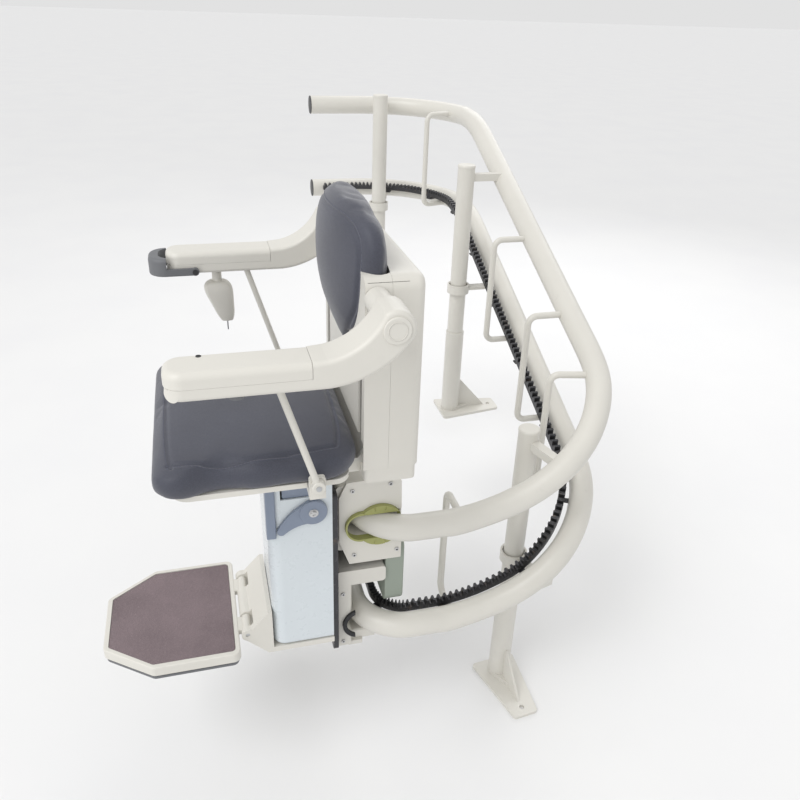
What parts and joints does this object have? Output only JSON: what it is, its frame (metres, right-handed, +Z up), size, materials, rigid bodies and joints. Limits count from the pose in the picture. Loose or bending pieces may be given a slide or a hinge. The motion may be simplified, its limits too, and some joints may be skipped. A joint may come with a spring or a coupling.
{
  "type": "curved rail stairlift chair",
  "caption": "Folding swivel chair with footrest on a drive carriage that rides a curved twin-tube stair rail with a toothed rack, held up by bolted posts.",
  "frame": {"origin": "underside of the low post's foot plate, on the post's axis", "axes": "+Z up; the seated person faces -Y and their left is +X; the low level run of the rail lies along X"},
  "size_m": [1.7315, 1.166, 1.3259],
  "materials": {
    "cream_paint": "satin cream powder coat",
    "cream_plastic": "smooth satin cream moulding",
    "white_plastic": "smooth bluish white moulding",
    "dark_steel": "oiled dark steel",
    "steel": "plain machined steel",
    "grey_plastic": "fine grained mid grey",
    "dark_plastic": "matt dark grey",
    "olive_nylon": "matt olive green nylon",
    "olive_plastic": "matt grey green moulding",
    "rubber": "matt black",
    "lever_blue": "smooth blue grey",
    "leatherette": "fine grained charcoal blue upholstery",
    "mat_rubber": "speckled grey mauve grip mat",
    "battery": "matt black case",
    "board": "green laminate"
  },
  "bodies": {
    "rail": {"upper_tube": "cream_paint", "lower_tube": "cream_paint", "gear_rack": "dark_steel", "rack_standoffs": "dark_steel", "tie_rods": "cream_paint", "tube_end_plugs": "dark_plastic", "post_tubes": "cream_paint", "post_sleeves": "cream_paint", "foot_plates": "cream_paint", "post_caps": "cream_plastic", "upper_post_arms": "cream_paint", "lower_saddles": "cream_paint", "saddle_bolts": "steel"},
    "carriage": {"carriage_frame": "dark_steel", "carriage_housing": "white_plastic", "lever_bracket": "lever_blue", "upper_roller_block": "cream_paint", "upper_block_plate": "cream_plastic", "tube_guide_ring": "olive_nylon", "lower_bracket": "cream_paint", "lower_tube_seal": "rubber", "block_screws": "steel", "roller_axles": "steel", "gearbox_cover": "olive_plastic", "drive_motor": "dark_steel", "battery_pack": "battery", "control_board": "board", "footrest_bracket": "cream_plastic", "footrest_pin": "steel"},
    "drive_pinion": {"drive_pinion": "steel"},
    "top_roller": {"top_roller": "dark_plastic"},
    "under_roller": {"under_roller": "dark_plastic"},
    "lower_roller": {"lower_roller": "dark_plastic"},
    "swivel_lever": {"swivel_lever": "lever_blue"},
    "footrest": {"footrest_plate": "cream_plastic", "footrest_mat": "mat_rubber"},
    "footrest_bumper": {"footrest_bumper": "grey_plastic"},
    "chair": {"swivel_plate": "steel", "chair_base": "cream_plastic", "backrest_front": "cream_plastic", "backrest_rear": "cream_plastic", "backrest_frame": "dark_steel", "backrest_pad": "leatherette", "seat_hinge_pins": "steel"},
    "seat": {"seat_pan": "cream_plastic", "seat_pad": "leatherette", "strut_foot_pins": "steel"},
    "left_arm": {"left_arm_shell": "cream_plastic", "left_arm_pad": "cream_plastic", "left_pivot_cap": "cream_plastic", "arm_stub": "grey_plastic"},
    "right_arm": {"right_arm_shell": "cream_plastic", "right_arm_pad": "cream_plastic", "right_pivot_cap": "cream_plastic", "control_pod": "cream_plastic", "paddle_pins": "dark_plastic"},
    "key_switch": {"key_switch": "steel"},
    "drive_paddle": {"drive_paddle": "grey_plastic"},
    "left_strut": {"left_strut": "cream_paint"},
    "right_strut": {"right_strut": "cream_paint"}
  },
  "joints": [
    {"name": "carriage_travel", "type": "slide", "parent": "rail", "child": "carriage", "axis": [-1, 0, 0], "range_m": [0, 0.12]},
    {"name": "pinion_spin", "type": "hinge", "parent": "carriage", "child": "drive_pinion", "pos_m": [-0.038, -0.357, 0.4], "axis": [0, 1, 0], "range_deg": [-229.19, 0]},
    {"name": "top_roller_spin", "type": "hinge", "parent": "carriage", "child": "top_roller", "pos_m": [-0.018, -0.403, 0.6638], "axis": [0, 1, 0], "range_deg": [-625.1, 0]},
    {"name": "under_roller_spin", "type": "hinge", "parent": "carriage", "child": "under_roller", "pos_m": [-0.018, -0.403, 0.5842], "axis": [0, 1, 0], "range_deg": [0, 625.1]},
    {"name": "lower_roller_spin", "type": "hinge", "parent": "carriage", "child": "lower_roller", "pos_m": [-0.018, -0.403, 0.3092], "axis": [0, 1, 0], "range_deg": [0, 625.1]},
    {"name": "swivel_lever_press", "type": "hinge", "parent": "carriage", "child": "swivel_lever", "pos_m": [0.1235, -0.509, 0.706], "axis": [1, 0, 0], "range_deg": [0, 25], "stiffness_Nm_per_rad": 1.5, "springref_deg": -20.05},
    {"name": "footrest_fold", "type": "hinge", "parent": "carriage", "child": "footrest", "pos_m": [0.022, -0.654, 0.4], "axis": [-1, 0, 0], "range_deg": [0, 88]},
    {"name": "bumper_lift", "type": "slide", "parent": "footrest", "child": "footrest_bumper", "axis": [0, 0, 1], "range_m": [0, 0.004], "stiffness_N_per_m": 3000, "springref_m": -0.006},
    {"name": "chair_swivel", "type": "hinge", "parent": "carriage", "child": "chair", "pos_m": [0.022, -0.533, 0.78], "axis": [0, 0, 1], "range_deg": [-70, 70]},
    {"name": "seat_fold", "type": "hinge", "parent": "chair", "child": "seat", "pos_m": [0.022, -0.342, 0.955], "axis": [-1, 0, 0], "range_deg": [0, 56]},
    {"name": "left_arm_fold", "type": "hinge", "parent": "chair", "child": "left_arm", "pos_m": [0.022, -0.408, 1.173], "axis": [-1, 0, 0], "range_deg": [0, 56]},
    {"name": "right_arm_fold", "type": "hinge", "parent": "chair", "child": "right_arm", "pos_m": [0.022, -0.408, 1.173], "axis": [-1, 0, 0], "range_deg": [0, 56]},
    {"name": "left_strut_pivot", "type": "hinge", "parent": "left_arm", "child": "left_strut", "pos_m": [0.289, -0.588, 1.095], "axis": [-1, 0, 0], "range_deg": [-56, 0]},
    {"name": "right_strut_pivot", "type": "hinge", "parent": "right_arm", "child": "right_strut", "pos_m": [-0.245, -0.588, 1.095], "axis": [-1, 0, 0], "range_deg": [-56, 0]},
    {"name": "paddle_rock", "type": "hinge", "parent": "right_arm", "child": "drive_paddle", "pos_m": [-0.2635, -0.69, 1.092], "axis": [1, 0, 0], "range_deg": [-8, 8], "stiffness_Nm_per_rad": 6},
    {"name": "key_turn", "type": "hinge", "parent": "right_arm", "child": "key_switch", "pos_m": [-0.2635, -0.632, 0.972], "axis": [0, 0, 1], "range_deg": [0, 90]}
  ],
  "couplings": [
    {"joint": "pinion_spin", "follows": "carriage_travel", "rad_per_m": -33.333},
    {"joint": "top_roller_spin", "follows": "carriage_travel", "rad_per_m": -90.909},
    {"joint": "under_roller_spin", "follows": "carriage_travel", "rad_per_m": 90.909},
    {"joint": "lower_roller_spin", "follows": "carriage_travel", "rad_per_m": 90.909},
    {"joint": "left_arm_fold", "follows": "seat_fold", "ratio": 1},
    {"joint": "right_arm_fold", "follows": "seat_fold", "ratio": 1},
    {"joint": "left_strut_pivot", "follows": "seat_fold", "ratio": -1},
    {"joint": "right_strut_pivot", "follows": "seat_fold", "ratio": -1}
  ]
}
